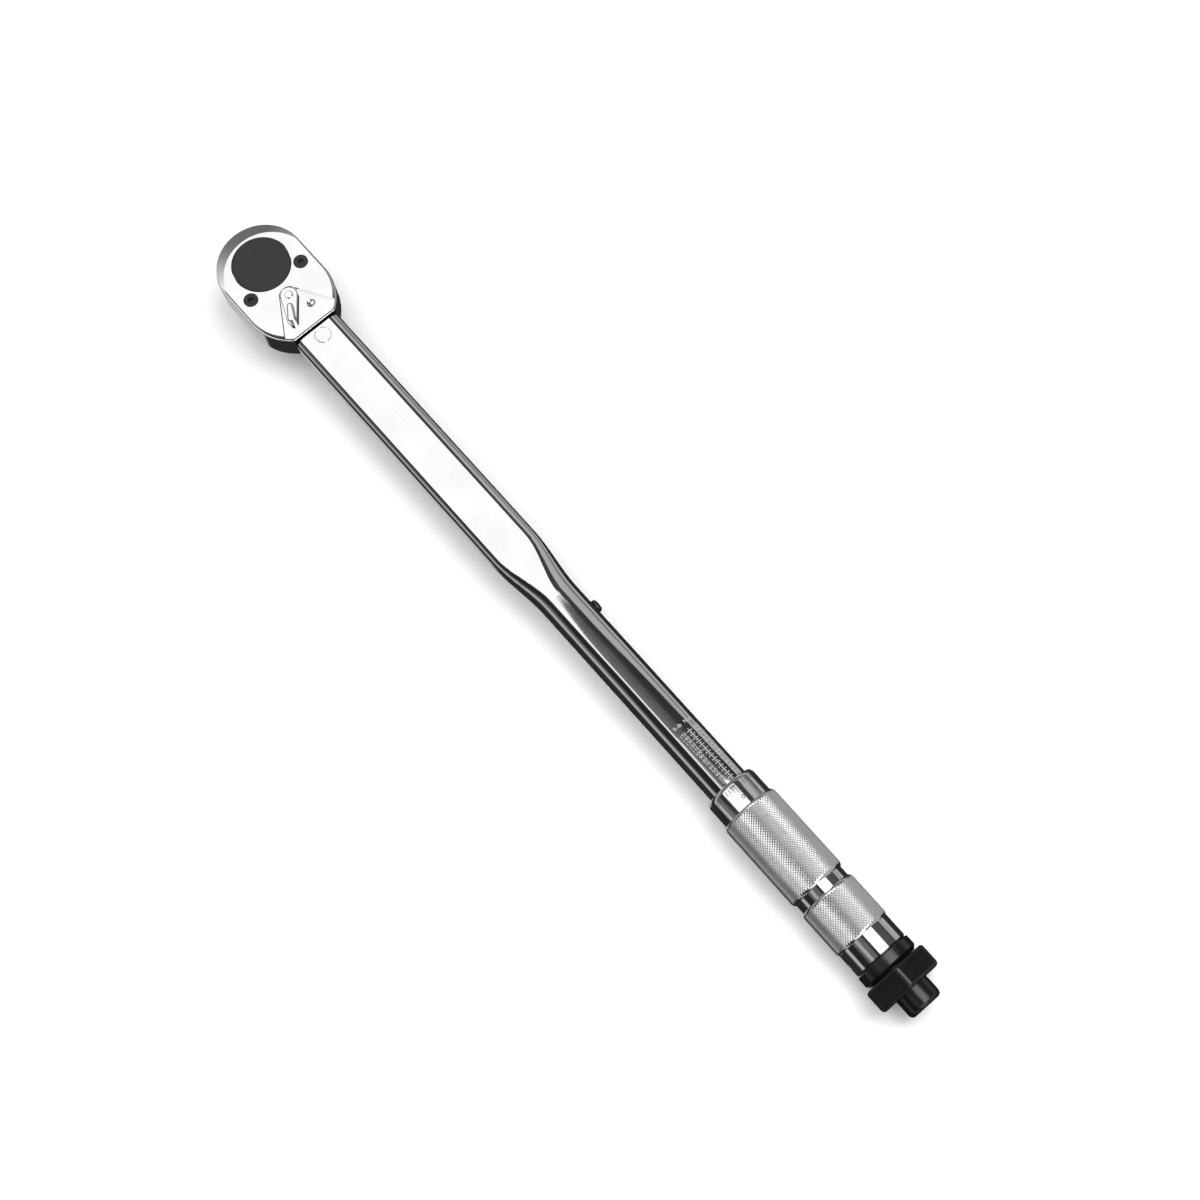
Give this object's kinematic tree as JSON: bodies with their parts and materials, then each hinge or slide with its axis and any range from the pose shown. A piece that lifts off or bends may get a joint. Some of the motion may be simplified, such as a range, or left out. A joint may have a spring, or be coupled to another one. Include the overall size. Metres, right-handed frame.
{
  "type": "torque wrench",
  "caption": "Click-type torque wrench with a reversible ratchet head, half-inch square drive, flattened tube, knurled micrometer handle and end lock knob.",
  "frame": {"origin": "centre of the square drive at the shoulder that a socket seats against", "axes": "+X along the tube from the ratchet head to the lock knob, +Z along the drive axis out of the cover plate, so the square drive points to -Z"},
  "size_m": [0.4659, 0.0432, 0.0429],
  "materials": {
    "polished_chrome": "mirror-polished chrome plate",
    "satin_chrome": "chrome plate over a fine diamond knurl, polished on its plain bands",
    "black_oxide": "black oxide steel, slightly oily",
    "black_cap": "matt black moulded cap",
    "black_plastic": "glossy black moulded plastic",
    "hardened_steel": "ground hardened steel",
    "ball_steel": "polished bearing balls",
    "spring_steel": "oil-tempered spring wire",
    "bronze": "turned bronze"
  },
  "bodies": {
    "body_tube": {"body_tube": "polished_chrome", "pivot_pin": "polished_chrome", "stop_screw": "black_oxide", "adjuster_nut": "bronze", "nut_pins": "hardened_steel", "main_spring": "spring_steel"},
    "head": {"ratchet_head": "polished_chrome", "cover_plate": "polished_chrome", "cover_screws": "black_oxide", "thrust_washer": "bronze", "pawl_pin": "hardened_steel"},
    "drive": {"drive_gear": "hardened_steel", "drive_cap": "black_cap", "socket_ball_spring": "spring_steel"},
    "socket_ball": {"socket_ball": "ball_steel"},
    "lever": {"reversing_lever": "polished_chrome", "lever_screw": "polished_chrome", "lever_cam": "hardened_steel", "pawl_plunger": "hardened_steel", "pawl_plunger_spring": "spring_steel", "lever_detent_ball": "ball_steel", "lever_detent_spring": "spring_steel"},
    "pawl": {"pawl": "hardened_steel"},
    "plunger": {"thrust_plunger": "hardened_steel", "front_spring_seat": "hardened_steel"},
    "tilting_block": {"tilting_block": "hardened_steel"},
    "spring_seat": {"rear_spring_seat": "hardened_steel", "thrust_ball": "ball_steel"},
    "handle": {"handle_sleeve": "satin_chrome", "handle_end_cap": "polished_chrome", "cap_pins": "hardened_steel", "adjusting_screw": "hardened_steel", "lock_collar": "black_plastic"},
    "lock_pin": {"lock_pin": "hardened_steel"},
    "lock_knob": {"lock_knob": "black_plastic", "end_plug": "black_plastic"}
  },
  "joints": [
    {"name": "head_click", "type": "hinge", "parent": "body_tube", "child": "head", "pos_m": [0.045, 0, 0.0105], "axis": [0, 0, 1], "range_deg": [0, 1.2], "stiffness_Nm_per_rad": 30},
    {"name": "plunger_slide", "type": "slide", "parent": "body_tube", "child": "plunger", "axis": [1, 0, 0], "range_m": [0, 0.0025], "deforming": ["main_spring"]},
    {"name": "block_tilt", "type": "hinge", "parent": "plunger", "child": "tilting_block", "pos_m": [0.1952, 0.0042, 0.0105], "axis": [0, 0, 1], "range_deg": [-18.1, 0]},
    {"name": "drive_spin", "type": "hinge", "parent": "head", "child": "drive", "pos_m": [0, 0, 0], "axis": [0, 0, 1], "continuous": true},
    {"name": "ball_press", "type": "slide", "parent": "drive", "child": "socket_ball", "axis": [0, 1, 0], "range_m": [0, 0.0008], "stiffness_N_per_m": 40, "deforming": ["socket_ball_spring"]},
    {"name": "lever_throw", "type": "hinge", "parent": "head", "child": "lever", "pos_m": [0.0208, 0, 0.019], "axis": [0, 0, 1], "range_deg": [0, 62]},
    {"name": "pawl_rock", "type": "hinge", "parent": "head", "child": "pawl", "pos_m": [0.0153, 0, 0.011], "axis": [0, 0, 1], "range_deg": [-14.1, 0.1]},
    {"name": "seat_slide", "type": "slide", "parent": "body_tube", "child": "spring_seat", "axis": [-1, 0, 0], "range_m": [0, 0.0281], "deforming": ["main_spring"]},
    {"name": "handle_turn", "type": "hinge", "parent": "spring_seat", "child": "handle", "pos_m": [0.4, 0, 0.0105], "axis": [-1, 0, 0], "range_deg": [0, 5040]},
    {"name": "lock_slide", "type": "slide", "parent": "handle", "child": "lock_pin", "axis": [1, 0, 0], "range_m": [0, 0.0013]},
    {"name": "lock_turn", "type": "hinge", "parent": "lock_pin", "child": "lock_knob", "pos_m": [0.43, 0, 0.0105], "axis": [1, 0, 0], "range_deg": [0, 360]}
  ],
  "couplings": [
    {"joint": "plunger_slide", "follows": "head_click", "m_per_rad": 0.119},
    {"joint": "block_tilt", "follows": "head_click", "ratio": -15},
    {"joint": "pawl_rock", "follows": "lever_throw", "ratio": -0.2258},
    {"joint": "seat_slide", "follows": "handle_turn", "m_per_rad": 0.00031831},
    {"joint": "lock_slide", "follows": "lock_turn", "m_per_rad": 0.00019894}
  ]
}
